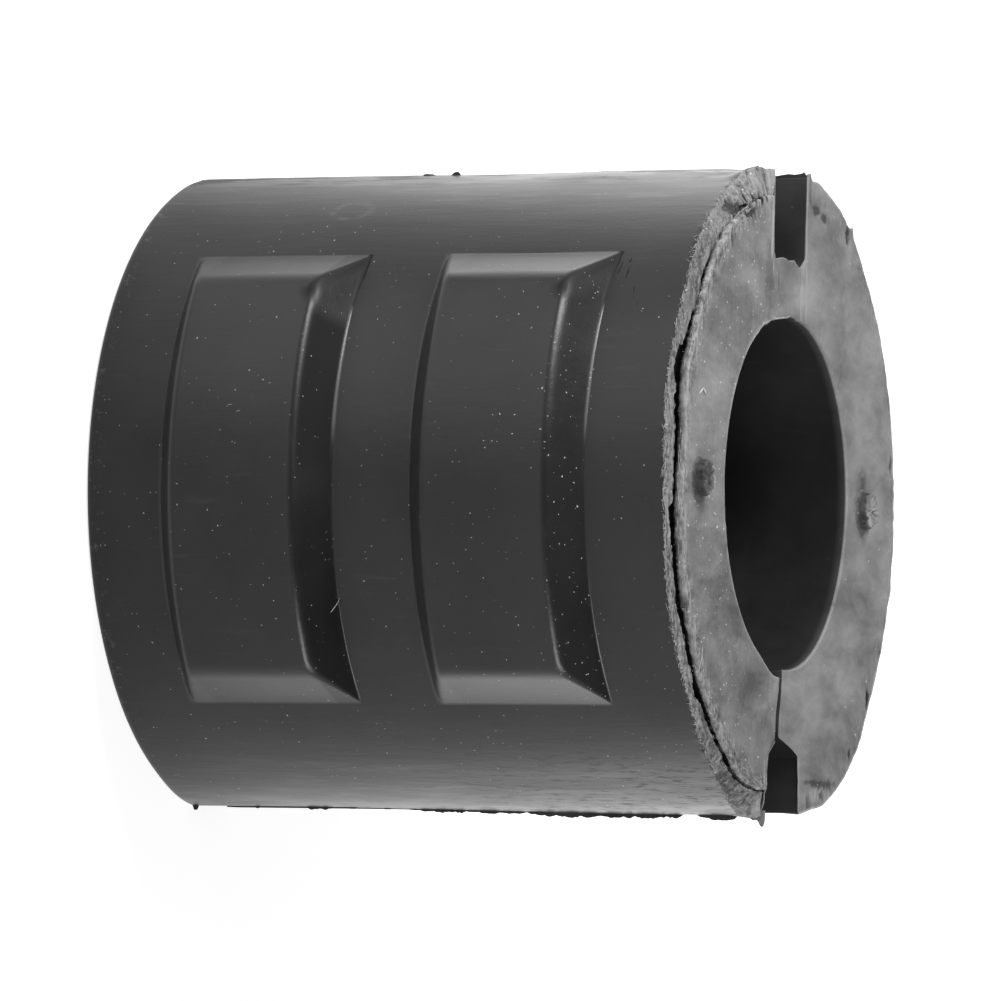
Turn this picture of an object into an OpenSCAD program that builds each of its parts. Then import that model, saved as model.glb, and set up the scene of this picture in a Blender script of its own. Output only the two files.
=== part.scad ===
// Split rubber bushing for an anti-roll bar, moulded in one piece.
//
// The bar lies along +Z. Z = 0 is the plain end that the bushing stands on, and
// the torn end with the gate stubs is at Z = body_l. The hinge slot faces -X,
// the split slot and the knife slit face +X, and the gripping pads face -Y and +Y.
// All sizes are millimetres and degrees.

/* [Body] */
// Outside diameter of the body
body_d = 70; // [64:0.5:90]
// Length of the body along the bar
body_l = 67.5; // [60:0.5:90]
// Diameter of the bore that grips the bar
bore_d = 38.4; // [30:0.1:41]
// Edge break at both ends of the bore
bore_break = 0.4; // [0.2:0.1:1.5]
// Rounding of the outer edge at the plain end
end_round = 1.0; // [0.4:0.1:3]

/* [Gripping pads] */
// Pads in a row along the bar, on each side
pad_rows = 2; // [1:1:2]
// Distance from one pad to the next along the bar
pad_pitch = 28.8; // [23:0.2:34]
// Shift of the pads from mid-length, towards the plain end when negative
pad_shift = -0.5; // [-3:0.1:3]
// Length of a pad's foot along the bar
pad_l = 19.8; // [12:0.2:25]
// Width of a pad's foot, measured straight across
pad_w = 48; // [30:0.5:54]
// Height of a pad above the body
pad_h = 4.5; // [2:0.1:7]
// Slope of the pad's end walls, from the radial direction
pad_end_slope = 32; // [10:1:42]
// Draft of the pad's long walls, from the way the mould opens
pad_side_draft = 19.5; // [5:0.5:30]
// Rounding between a pad's walls and its top
pad_round = 1.0; // [0.3:0.1:1.6]
// Turn of the pads about the bore, towards the hinge slot
pad_lean = 1; // [-4:0.5:4]

/* [Hinge slot] */
// Width of the slot that lets the bushing open
hinge_w = 9; // [5:0.5:13]
// Rubber left between the hinge slot and the bore
hinge_web = 6; // [3:0.5:9]
// Depth of the shallow panel on the web at the torn end
web_relief = 0.3; // [0.1:0.05:1]

/* [Split slot and slit] */
// Width of the slot over the slit
split_w = 9.4; // [6:0.2:13]
// Depth of the slot's straight walls below the outside
split_depth = 6.3; // [3:0.1:8]
// Rise of the slot's pointed roof towards the bore
roof_rise = 3; // [1:0.1:4]
// Gap of the slit when nothing squeezes the bushing
slit_w = 0.7; // [0.3:0.1:2]
// Shift of the slit to one side of the slot's middle
slit_shift = -1.2; // [-2:0.1:2]

/* [Torn end] */
// Width of the skin ring that is torn down on the front half
skin_w = 3.3; // [1.5:0.1:6]
// Step from the end face down to that ring
skin_step = 1.0; // [0.3:0.1:3]
// Width of the tear at the foot of the step
tear_w = 0.8; // [0.3:0.1:1.4]
// Depth of the tear below the ring
tear_d = 1.2; // [0.3:0.1:3]
// Diameter of a gate stub
gate_d = 4; // [2:0.5:6]
// Height of a gate stub above the end face
gate_h = 1.2; // [0.5:0.1:3]
// Distance of the front gate stub's middle from the outside
front_gate_inset = 8; // [7:0.2:11]
// Distance of the back gate stub's middle from the outside
back_gate_inset = 10.6; // [4:0.2:12]

/* [Hidden] */

body_r = body_d / 2;
bore_r = bore_d / 2;
pad_r = body_r + pad_h;
rubber = [0.19, 0.19, 0.19];

// How far a cut runs past the face that it opens
past = 1;
// How far a raised piece is rooted in the body
root = 1.5;
// Straight steps in a rounding, and in each half of the slot's roof
steps = 6;
// Form of the roof's flanks: 1 is a plain gable, and less swells them outwards
roof_form = 0.7;
// Angle that a pad's rounding stops short of its top, so that the two cross cleanly
round_gap = 6;
// Ridge that closes a pad's section above its top, in multiples of the top's radius
ridge = 1.41;
// Place of the tear's bottom across its width: 0 is under the step, 1 under the ring
tear_lean = 0.4;

// Points of an arc about c with radius r, from angle a to angle b
function arc(c, r, a, b, n = steps) =
    [for (i = [0:n]) c + r * [cos(a + (b - a) * i / n), sin(a + (b - a) * i / n)]];

function flipped(points) = [for (i = [len(points) - 1:-1:0]) [-points[i][0], points[i][1]]];

// Body: a revolved wall, rounded at the plain end
module barrel() {
    rotate_extrude($fn = 180)
        polygon(concat(
            [[0, 0]],
            arc([body_r - end_round, end_round], end_round, -90, 0),
            [[body_r, body_l], [0, body_l]]
        ));
}

// Ring whose section is a pad's length profile: sloped ends, rounded at the top
module pad_ring() {
    foot = pad_l / 2;
    slope = pad_end_slope;
    // The rounding's centre lies pad_round inside the top and inside the sloped wall
    centre_r = pad_r - pad_round;
    centre_z = foot - (pad_h - pad_round) * tan(slope) - pad_round / cos(slope);
    // A wall crosses the body's outside at the foot and runs on into the root
    upper = concat(
        [[body_r - root, foot + root * tan(slope)]],
        arc([centre_r, centre_z], pad_round, 90 - slope, 0)
    );
    lower = [for (i = [len(upper) - 1:-1:0]) [upper[i][0], -upper[i][1]]];
    rotate_extrude($fn = 180)
        polygon(concat(upper, lower));
}

// Half of a pad's section across the bar, on the +X side of a pad that faces +Y
function pad_flank() =
    let (
        foot = [pad_w / 2, sqrt(body_r * body_r - pad_w * pad_w / 4)],
        out = [cos(pad_side_draft), sin(pad_side_draft)],
        along = [-sin(pad_side_draft), cos(pad_side_draft)],
        // The rounding's centre lies pad_round inside the wall and inside the top
        inset = foot * out - pad_round,
        reach = sqrt(pow(pad_r - pad_round, 2) - inset * inset),
        centre = inset * out + reach * along,
        top_angle = atan2(centre[1], centre[0])
    )
    concat(
        [foot - root * along],
        arc(centre, pad_round, pad_side_draft, top_angle - round_gap)
    );

module pad_prism(length) {
    flank = pad_flank();
    translate([0, 0, -length / 2])
        linear_extrude(height = length)
            polygon(concat(flank, [[0, pad_r * ridge]], flipped(flank)));
}

// One pad that faces +Y, centred on Z = 0
module pad() {
    intersection() {
        pad_ring();
        pad_prism(pad_l + 2 * past);
    }
}

// The pads of the +Y side; the hinge slot is at -X, so a lean turns them that way
module pad_row() {
    for (i = [0:pad_rows - 1])
        translate([0, 0, body_l / 2 + pad_shift + (i - (pad_rows - 1) / 2) * pad_pitch])
            rotate([0, 0, pad_lean])
                pad();
}

// Bore for the bar, with its edges broken at both ends
module bore() {
    translate([0, 0, -past])
        cylinder(h = body_l + 2 * past, r = bore_r, $fn = 180);
    translate([0, 0, -past])
        cylinder(h = bore_break + past, r1 = bore_r + bore_break + past, r2 = bore_r, $fn = 180);
    translate([0, 0, body_l - bore_break])
        cylinder(h = bore_break + past, r1 = bore_r, r2 = bore_r + bore_break + past, $fn = 180);
}

// Slot that thins the wall to a hinge, and the shallow panel on that web
module hinge_slot() {
    depth = body_r - bore_r - hinge_web;
    translate([-body_r - past, -hinge_w / 2, -past])
        cube([depth + past, hinge_w, body_l + 2 * past]);
    translate([-body_r - past, -hinge_w / 2, body_l - web_relief])
        cube([body_r - bore_r + 2 * past, hinge_w, web_relief + past]);
}

// Slot with a pointed roof, whose tip meets the slit
module split_slot() {
    wall = split_w / 2;
    shoulder = body_r - split_depth;
    // A flank's points run from the tip over the slit to a side wall, closer together near the wall
    flank = function (side, share)
        let (out = sin(90 * share))
        [shoulder - roof_rise * pow(1 - out, roof_form), slit_shift + out * (side * wall - slit_shift)];
    translate([0, 0, -past])
        linear_extrude(height = body_l + 2 * past)
            polygon(concat(
                [for (i = [steps:-1:0]) flank(-1, i / steps)],
                [for (i = [1:steps]) flank(1, i / steps)],
                [[body_r + past, wall], [body_r + past, -wall]]
            ));
}

// Knife slit from the bore into the roof of the split slot
module slit() {
    translate([0, slit_shift - slit_w / 2, -past])
        cube([body_r - split_depth, slit_w, body_l + 2 * past]);
}

// Front half of the torn end: a ring of skin is torn down, with an open tear inside it
module tear() {
    step_r = body_r - skin_w;
    ring_z = body_l - skin_step;
    half = body_r + past;
    intersection() {
        rotate_extrude($fn = 180)
            polygon([
                [step_r, body_l + past],
                [step_r, ring_z],
                [step_r + tear_w * tear_lean, ring_z - tear_d],
                [step_r + tear_w, ring_z],
                [half, ring_z],
                [half, body_l + past]
            ]);
        translate([-half, -half, ring_z - tear_d - past])
            cube([2 * half, half, skin_step + tear_d + 3 * past]);
    }
}

// Stub left on the end face where the rubber entered the mould
module gate_stub(y) {
    translate([0, y, body_l - root])
        cylinder(h = root + gate_h, d = gate_d, $fn = 48);
}

module bushing() {
    color(rubber) {
        difference() {
            union() {
                barrel();
                pad_row();
                mirror([0, 1, 0])
                    pad_row();
                gate_stub(front_gate_inset - body_r);
                gate_stub(body_r - back_gate_inset);
            }
            bore();
            hinge_slot();
            split_slot();
            slit();
            tear();
        }
    }
}

bushing();
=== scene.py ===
"""Looks of a split rubber bushing for an anti-roll bar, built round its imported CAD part.

The bar lies along +Z. The plain end is at Z = 0 and the torn end at the top. The hinge slot
faces -X, the split slot faces +X, and the gripping pads face -Y and +Y. Shapes are worked out
in millimetres and put into their meshes in metres. An angle round the bar is counted in degrees
from -Y, and grows towards the hinge slot.
"""

import bpy
import numpy as np
from mathutils import Matrix, Vector


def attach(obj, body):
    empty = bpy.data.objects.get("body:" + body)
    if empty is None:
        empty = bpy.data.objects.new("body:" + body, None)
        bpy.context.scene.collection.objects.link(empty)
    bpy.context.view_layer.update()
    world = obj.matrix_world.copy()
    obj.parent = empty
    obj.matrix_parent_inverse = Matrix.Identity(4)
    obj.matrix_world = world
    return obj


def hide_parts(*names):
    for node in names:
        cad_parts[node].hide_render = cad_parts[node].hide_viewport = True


bl_info = {
    "name": "Split rubber bushing",
    "version": (1, 0, 0),
    "blender": (4, 5, 0),
    "location": "View3D > Sidebar > Bushing",
    "description": "Builds a split rubber bushing with gripping pads and a torn end",
    "category": "Add Mesh",
}

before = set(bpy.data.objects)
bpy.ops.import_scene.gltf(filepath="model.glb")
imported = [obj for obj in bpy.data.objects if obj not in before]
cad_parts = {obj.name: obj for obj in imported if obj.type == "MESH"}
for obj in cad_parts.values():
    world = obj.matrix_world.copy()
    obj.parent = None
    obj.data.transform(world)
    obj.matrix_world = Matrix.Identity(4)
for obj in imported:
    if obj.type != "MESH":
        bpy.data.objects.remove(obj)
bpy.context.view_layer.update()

MM = 0.001
BODY = "root"

# How much further from a slot's middle than in the solids a worn wall stands: the split slot's
# front wall, and the hinge slot's walls at the outside and at the floor
SPLIT_FRONT_WEAR = 0.8
HINGE_FRONT_WEAR = (0.35, 1.0)
HINGE_BACK_WEAR = (0.7, 0.25)
# Distance of the flash at the hinge slot's lips from the solids' walls
HINGE_FLASH_SHIFT = 0.95
# Heights of the pads' middles
PAD_MIDDLES = (18.85, 47.65)
# Length of a degree along the barrel, as the patterns of random heights count it
MM_PER_DEGREE = 0.6
# How far a pad's mesh is sunk into the barrel: its rim, and its floor
PAD_RIM_DEPTH = 0.4
PAD_FLOOR_DEPTH = 1.2
# Middles of the gate stubs, as X and Y
STUBS = ((-0.4, -27.1), (1.0, 24.3))
# Marks on the meshes that the rubber's material reads. The darkness mark is mostly painted shade; the
# paleness and film marks are partly painted highlights.
MARKS = ("torn", "dark", "pale", "frayed", "dusty", "film")


def length(name, description, default):
    """A length property, with its default in millimetres."""
    return bpy.props.FloatProperty(
        name=name, description=description, default=default * MM, unit="LENGTH", subtype="DISTANCE")


def turn(name, description, default):
    """An angle property, with its default in degrees."""
    return bpy.props.FloatProperty(
        name=name, description=description, default=np.radians(default), subtype="ANGLE")


def tint(name, description, *default):
    """A colour property."""
    return bpy.props.FloatVectorProperty(
        name=name, description=description, size=3, subtype="COLOR", default=default, min=0, max=1)


class BushingSizes(bpy.types.PropertyGroup):
    """Sizes of the bushing: the CAD source's, but with a slit worn wider and a smaller edge break"""

    body_radius: length("Body radius", "Outside of the barrel", 35)
    body_length: length("Body length", "Length along the bar", 67.5)
    bore_radius: length("Bore radius", "Hole that grips the bar", 19.2)
    edge_break: length("Edge break", "Bevel at both ends of the bore", 0.25)
    end_round: length("End rounding", "Outer edge of the plain end", 1)
    hinge_half: length("Hinge slot half width", "From the slot's middle to a wall", 4.5)
    hinge_floor: length("Hinge slot floor", "Distance of the slot's floor from the bar's axis", 25.2)
    web_relief: length("Web relief", "Depth of the shallow panel on the web", 0.3)
    split_half: length("Split slot half width", "From the slot's middle to a wall", 4.7)
    split_shoulder: length("Split slot shoulder", "Distance from the axis at which its walls end", 28.7)
    roof_rise: length("Roof rise", "Rise of the pointed roof towards the bore", 3)
    slit_gap: length("Slit gap", "Opening of the knife slit at the roof", 1.1)
    slit_spread: length("Slit spread", "How much wider the slit is at the bore", 0.2)
    pad_height: length("Pad height", "Height of a gripping pad above the barrel", 4.5)
    pad_length: length("Pad length", "Length of a pad's foot along the bar", 19.8)
    pad_width: length("Pad width", "Width of a pad's foot, measured straight across", 48)
    pad_end_slope: turn("Pad end slope", "Slope of a pad's end walls, from the radial direction", 32)
    pad_side_draft: turn("Pad side draft", "Draft of a pad's long walls", 19.5)
    pad_lean: turn("Pad lean", "Turn of the pads towards the hinge slot", 1)
    stub_radius: length("Gate stub radius", "Half a gate stub's diameter", 2)
    stub_height: length("Gate stub height", "Height of a gate stub above the end face", 1.2)


class BushingFinish(bpy.types.PropertyGroup):
    """Colours of the bushing and its stage"""

    rubber: tint("Rubber", "Moulded skin of the rubber", 0.0115, 0.0115, 0.012)
    torn: tint("Torn rubber", "Torn end, where the matt inside shows", 0.19, 0.19, 0.19)
    # The edge colour paints pale rims and strands; along the torn edges it is partly a painted highlight
    edge: tint("Edge", "Pale rubbed edges of the bore and the slots", 0.4, 0.4, 0.4)
    dust: tint("Dust", "Specks and fibres on the rubber", 0.62, 0.62, 0.62)
    floor: tint("Floor", "Plain floor of the stage", 0.86, 0.86, 0.86)


def millimetres(sizes, *names):
    """The named sizes in millimetres: a number, or a list for several names."""
    values = [getattr(sizes, name) / MM for name in names]
    return values if len(names) > 1 else values[0]


def smooth(x, start=0, over=1):
    """Smooth step: t runs from 0 to 1 over a stretch from start on, and the step is 3tt - 2ttt."""
    t = np.clip((x - start) / over, 0, 1)
    return t * t * (3 - 2 * t)


def hump(x, middle, width):
    """Bell curve: e to the power of minus the square of the distance from the middle in widths."""
    return np.exp(-((x - middle) / width) ** 2)


def ragged(t, step, seed):
    """Random heights from -1 to 1 at every step along t, joined by straight lines."""
    spots = np.random.default_rng(seed).uniform(-1, 1, 4096)
    at = np.asarray(t) / step + 2048
    low = np.floor(at).astype(int)
    share = at - low
    return spots[low % 4096] * (1 - share) + spots[(low + 1) % 4096] * share


def rough(u, v, step_u, step_v, seed):
    """Random heights from -1 to 1 on a lattice of step_u by step_v, blended smoothly between its points."""
    spots = np.random.default_rng(seed).uniform(-1, 1, (256, 256))
    a, b = np.asarray(u) / step_u + 1024, np.asarray(v) / step_v + 1024
    i, j = np.floor(a).astype(int), np.floor(b).astype(int)
    s, t = smooth(a - i), smooth(b - j)
    i, j, k, m = i % 256, j % 256, (i + 1) % 256, (j + 1) % 256
    low = spots[i, j] * (1 - s) + spots[k, j] * s
    high = spots[i, m] * (1 - s) + spots[k, m] * s
    return low * (1 - t) + high * t


def polar(radius, angle):
    """Points at a radius and at an angle in degrees, counted from -Y towards -X."""
    a = np.radians(angle)
    return np.stack([-radius * np.sin(a), -radius * np.cos(a)], -1)


def table(angle, rows):
    """Value at an angle, read from (angle, value) rows along straight lines."""
    rows = np.array(rows, float)
    return np.interp(angle, rows[:, 0], rows[:, 1])


def grid_faces(rows, columns, first, closed=False):
    """Quads of a grid whose points start at number first; closed joins the last column to the first."""
    i = np.arange(rows - 1)[:, None]
    j = np.arange(columns if closed else columns - 1)[None, :]
    k = (j + 1) % columns
    a = first + i * columns + j
    b = first + i * columns + k
    return np.stack([a, b, b + columns, a + columns], -1).reshape(-1, 4)


def strip_faces(low, high, count):
    """Quads between two rows of as many points, which start at the numbers low and high."""
    j = np.arange(count - 1)
    return np.stack([low + j, low + j + 1, high + j + 1, high + j], -1)


def make_mesh(name, points, quads, rest=(), marks=None, sharp=None):
    """A mesh from points in millimetres, quads, and other faces given as lists of point numbers."""
    mesh = bpy.data.meshes.new(name)
    faces = [tuple(q) for q in quads.tolist()] + [tuple(f) for f in rest]
    mesh.from_pydata((points * MM).tolist(), [], faces)
    for key, values in (marks or {}).items():
        mark = mesh.attributes.new(key, "FLOAT", "POINT")
        mark.data.foreach_set("value", np.ascontiguousarray(values, np.float32).ravel())
    mesh.polygons.foreach_set("use_smooth", np.ones(len(mesh.polygons), bool))
    if sharp:
        mesh.set_sharp_from_angle(angle=np.radians(sharp))
    mesh.validate()
    mesh.update()
    piece = bpy.data.objects.new(name, mesh)
    bpy.context.scene.collection.objects.link(piece)
    return piece


def dress(piece, material):
    """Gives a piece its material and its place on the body."""
    piece.data.materials.append(material)
    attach(piece, BODY)
    return piece


# Tear round the front half of the torn end, picked off the photograph: (angle, value) rows.
# Radius of the torn ring's inner edge, in millimetres
RING_INSIDE = (
    (-84, 32.9), (-80, 32.9), (-76, 33.3), (-72, 33.6), (-66, 34.0), (-62, 33.9), (-57, 33.5),
    (-52, 33.6), (-48, 33.6), (-45, 33.1), (-42, 33.9), (-40, 33.6), (-37, 33.0), (-34, 33.4),
    (-30, 33.1), (-26, 33.6), (-22, 33.8), (-19, 33.5), (-13, 33.2), (-11, 33.4), (-5, 33.7),
    (-4, 32.3), (0, 32.2), (5, 32.3), (10, 32.3), (13, 33.0), (15, 33.3), (18, 33.2), (19, 34.4),
    (25, 34.1), (26, 32.9), (30, 32.9), (36, 33.4), (42, 33.5), (50, 33.5), (57, 33.7),
    (66, 33.3), (70, 33.0), (78, 32.6), (84, 32.4),
)
# Radius of the core's wall, in millimetres
CORE_WALL = (
    (-84, 32.7), (-80, 32.6), (-76, 33.1), (-66, 33.5), (-60, 33.1), (-52, 33.2), (-45, 32.7),
    (-41, 32.8), (-36, 32.5), (-28, 32.6), (-20, 32.8), (-12, 32.6), (-5, 32.3), (0, 31.9),
    (10, 31.7), (15, 32.3), (20, 32.9), (26, 32.5), (32, 32.6), (40, 33.0), (50, 33.2),
    (57, 33.1), (66, 32.6), (70, 32.6), (78, 32.4), (84, 32.2),
)
# Height of the torn ring's outer edge, in millimetres
RING_EDGE = (
    (-84, 66.7), (-81, 66.6), (-80.2, 65.5), (-79.5, 64.7), (-77, 64.9), (-73, 65.2), (-67, 65.4),
    (-62, 65.75), (-57, 66.0), (-50, 66.1), (-45, 66.3), (-36, 66.4), (-30, 66.2), (-20, 66.3),
    (-8, 66.5), (3, 66.5), (10, 66.4), (16, 66.1), (24, 66.2), (36, 66.2), (42, 65.9), (50, 65.7),
    (58, 65.6), (66, 65.5), (70, 65.3), (73, 65.6), (78, 66.3), (84, 66.9),
)
# How far the tear stands open, from 0 to 1
TEAR_OPEN = (
    (-84, 0), (-80, 0.15), (-72, 0.25), (-66, 0.55), (-50, 0.6), (-44, 0.9), (-30, 0.8), (-14, 1),
    (28, 1), (34, 0.8), (46, 0.7), (58, 0.75), (63, 0.7), (66, 0.35), (69, 0.14), (80, 0.1), (84, 0),
)
# Height of the rim along the back half
BACK_EDGE = (
    (95, 67.5), (100, 67.4), (110, 67.5), (116, 67.6), (119, 67.6), (124, 67.5), (150, 67.45),
    (175, 67.4), (195, 67.5), (215, 67.55), (228, 67.8), (240, 68.0), (252, 68.0), (258, 67.6),
    (263, 67.4),
)
# Pits and smears on the torn end: middle, half sizes along X and Y, depth, and darkness, which is
# less than 0 for a pale one. In a pit the darkness is painted shade in its hollow; a smear without depth is
# only darker.
PITS = (
    (-29.5, -13.9, 0.7, 3.3, 0.35, 0.72), (-30.9, -12.4, 0.5, 0.3, 0.1, 0.9),
    (-31.0, -10.8, 0.6, 0.3, 0.1, 0.8), (-31.0, -9.0, 0.7, 0.35, 0.1, 0.9),
    (-31.3, -7.4, 0.5, 0.3, 0.1, 0.8), (-33.2, -6.3, 1.4, 0.25, 0.1, 0.5),
    (-22.4, -6.4, 4.2, 1.3, 0, 0.2), (-24.2, -5.0, 1.2, 0.35, 0, -0.9),
    (-22.6, -2.6, 0.9, 0.25, 0.05, 0.4), (-22.3, 5.2, 3.2, 0.3, 0, -0.5),
    (-0.6, 24.2, 2.2, 0.8, 0, 0.5), (0.4, 24.3, 3.3, 2.2, 0, 0.3),
    (-0.3, -28.2, 1.7, 1.1, 0, 0.4), (30.9, -15.7, 0.8, 0.7, 0.1, 0.55),
    (31.7, -14.8, 0.6, 0.5, 0, 0.4), (32.7, -13.3, 0.6, 0.3, 0, 0.4),
    (12.5, -17.0, 6.0, 3.5, 0, 0.2), (19.8, -8.0, 4.0, 5.0, 0, 0.16),
    (-18.0, 14.0, 5.0, 4.0, 0, 0.13), (-23.0, 0.5, 2.5, 4.0, 0, 0.12),
    (32.7, 10.5, 0.8, 2.7, 0, -0.45), (31.4, 10.8, 0.4, 4.2, 0.1, 0.6),
    (32.7, 10.9, 0.6, 0.5, 0.1, 0.6), (33.3, 7.6, 0.7, 0.5, 0.1, 0.5),
    (21.9, 26.8, 1.4, 0.7, 0.15, 0.85), (27.8, 19.9, 0.45, 0.5, 0.1, 0.75),
    (-33.1, 6.7, 1.9, 0.25, 0.1, 0.4), (-31.1, 8.3, 0.45, 1.0, 0.1, 0.6),
    (-30.5, 11.0, 0.5, 1.0, 0.1, 0.65), (-29.4, 13.6, 1.1, 2.4, 0, 0.2),
    (-29.4, 18.5, 1.1, 0.5, 0.15, 0.75), (9.9, 34.3, 0.9, 0.5, 0.1, 0.8),
    (-4.5, 33.9, 0.9, 0.4, 0.1, 0.6), (16.5, 30.6, 0.4, 0.5, 0.1, 0.5),
)
# Torn edge of the web's floor at the hinge slot: (Y, X) rows
WEB_FLOOR = (
    (-5.5, -25.8), (-5.1, -25.1), (-4.6, -25.2), (-4.2, -26.1), (-3.8, -25.0), (-2.5, -25.2),
    (-1.2, -25.3), (0, -25.1), (1.2, -25.2), (2.2, -25.3), (3.0, -24.9), (3.6, -24.6), (4.8, -24.6),
)
# Height of the flash along the hinge slot's back lip: (Z, height) rows
HINGE_FLASH = ((60, 0.05), (63.8, 0.3), (65.2, 0.5), (66, 0.42), (66.8, 0.52), (67.05, 0.7), (67.4, 0.1))
# Scratches above the higher pad: angle and height of both ends, and half the width
SCRATCHES = (
    (41.8, 58.2, 39.0, 58.0, 0.07), (42.9, 59.0, 41.7, 58.9, 0.06), (40.8, 59.1, 37.8, 59.1, 0.06),
    (36.2, 60.3, 34.4, 60.5, 0.055), (32.7, 61.1, 31.7, 61.3, 0.045), (30.4, 59.8, 29.8, 59.8, 0.04),
)


def nose(angle):
    """How far the torn end stands out of the barrel, at an angle."""
    # The block in front of the hinge slot
    block = smooth(angle, 69, 6) * (angle < 90) * (1 - 0.75 * smooth(angle, 79.6, 1.6))
    block = block * (0.55 + 0.2 * ragged(angle, 2.5, 17) + 0.12 * ragged(angle, 0.6, 18))
    # Swollen rims behind both slots, with a spike and two nubs of flash
    behind = 0.35 * smooth(angle, 101, 4) * smooth(angle, 133, -6)
    behind = behind + 0.45 * smooth(angle, 220, 10) * (1 - 0.7 * smooth(angle, 252, 5))
    flash = 0.7 * hump(angle, 100.6, 0.7) + 0.75 * hump(angle, 123.8, 1.0) + 0.4 * hump(angle, 196, 1.5)
    # Beside the split slot the torn skin is bent out further than the barrel below it
    return block + behind + flash + split_lip(angle) + 0.3 * smooth(-angle, 78.5, 2)


def split_lip(angle):
    """How far the split slot's front lip is bent out of the barrel, at an angle."""
    return 0.5 * smooth(-angle, 62, 16)


def lip_bend(z):
    """Share of that bend at a height: the lip is bent most towards the torn end."""
    return smooth(z, 15, 40)


def slit_middle(x):
    """Distance of the slit's middle from the XZ plane: it jogs to the front just under the roof."""
    return -1.4 - 0.8 * smooth(x, 24.6, 1.6)


def section(sizes):
    """Outline of the body across the bar, as columns that each run from the bore to the outside.

    The outline runs from the slit's front wall over the split slot's front flank, the front arc,
    the hinge slot, the back arc and the back flank to the slit's back wall.
    Returns the outer points, the bore's points, the outer points' angles, and each stretch's name.
    """
    R, B, hinge, floor = millimetres(sizes, "body_radius", "bore_radius", "hinge_half", "hinge_floor")
    split, shoulder, gap = millimetres(sizes, "split_half", "split_shoulder", "slit_gap")
    rise, spread = millimetres(sizes, "roof_rise", "slit_spread")
    # Y of the worn walls
    split_front = -split - SPLIT_FRONT_WEAR
    front_out, front_in = (-hinge - wear for wear in HINGE_FRONT_WEAR)
    back_out, back_in = (hinge + wear for wear in HINGE_BACK_WEAR)
    lip_front, lip_back, hinge_front, hinge_back = (
        np.degrees(np.arcsin(y / R)) for y in (-split_front, split, -front_out, back_out))
    web = np.degrees(np.arccos(hinge / B))
    tip = shoulder - rise * 0.74
    front, back = slit_middle(tip) - gap / 2, slit_middle(tip) + gap / 2

    def straight(a, b, n):
        s = np.arange(n)[:, None] / n
        return np.array(a, float) * (1 - s) + np.array(b, float) * s

    def flank(start, wall, n):
        out = np.sin(np.pi / 2 * np.arange(n) / n)
        return np.stack([shoulder - (shoulder - tip) * (1 - out) ** 0.7, start + (wall - start) * out], -1)

    def arc(start, end, n):
        return polar(R, np.arange(n) / n * (end - start) + start)

    def reach(y):
        return np.sqrt(R * R - y * y)

    back_flank = np.concatenate([[[shoulder, split]], flank(back, split, 14)[::-1]])
    # Each stretch: name, outer points, and the angles at which its bore points start and end
    stretches = [
        ("front_slit", np.array([[tip, front + 0.05]]), -85.2, -85.2),
        ("front_flank", flank(front, split_front, 14), -85.2, -83),
        ("front_wall", straight((shoulder, split_front), (reach(split_front), split_front), 18), -83, -79),
        ("front_arc", arc(lip_front - 90, 90 - hinge_front, 620), -79, web - 3),
        ("front_hinge", straight((-reach(front_out), front_out), (-floor, front_in), 22), web - 3, web),
        ("web", straight((-floor, front_in), (-floor, back_in), 28), web, 180 - web),
        ("back_hinge", straight((-floor, back_in), (-reach(back_out), back_out), 22), 180 - web, 183 - web),
        ("back_arc", arc(90 + hinge_back, 270 - lip_back, 300), 183 - web, 259),
        ("back_wall", straight((reach(split), split), (shoulder, split), 18), 259, 263),
        ("back_flank", back_flank, 263, 272.6),
        ("back_slit", np.array([[tip, back - 0.05]]), 272.6, 272.6),
    ]
    outer = np.concatenate([points for _, points, _, _ in stretches])
    names = np.concatenate([[name] * len(points) for name, points, _, _ in stretches])
    bore_angle = np.concatenate([
        np.linspace(start, end, len(points), endpoint=name == "back_flank")
        for name, points, start, end in stretches])
    bore = polar(B, bore_angle)
    # The bore's edge beside the slit is pulled outwards on the front half
    bore[:, 0] += 0.9 * smooth(-bore_angle, 64, 19)
    middle = slit_middle(20)
    bore[:2, 1] = middle - gap / 2 - spread + np.array([0.05, 0])
    bore[-2:, 1] = middle + gap / 2 - np.array([0, 0.05])
    # The bore's edge at the web is ragged and stands a little into the bore
    pulled = 0.3 * hump(bore_angle, 88, 26) * (1 + 0.6 * ragged(bore_angle, 2.4, 23))
    bore *= 1 - (pulled / B)[:, None]
    web_columns = names == "web"
    outer[web_columns, 0] = table(outer[web_columns, 1], WEB_FLOOR)
    # Corners are cut a little, as worn rubber edges are
    soft = outer[:-2] / 4 + outer[1:-1] / 2 + outer[2:] / 4
    for name in ("front_wall", "front_arc", "front_hinge", "web", "back_hinge", "back_arc", "back_wall"):
        corner = np.flatnonzero(names == name)[0]
        outer[corner] = soft[corner - 1]
    angle = np.degrees(np.arctan2(-outer[:, 0], -outer[:, 1]))
    later = np.arange(len(angle)) > len(angle) // 3
    angle[later & (angle < 0)] += 360
    return outer, bore, angle, names


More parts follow.
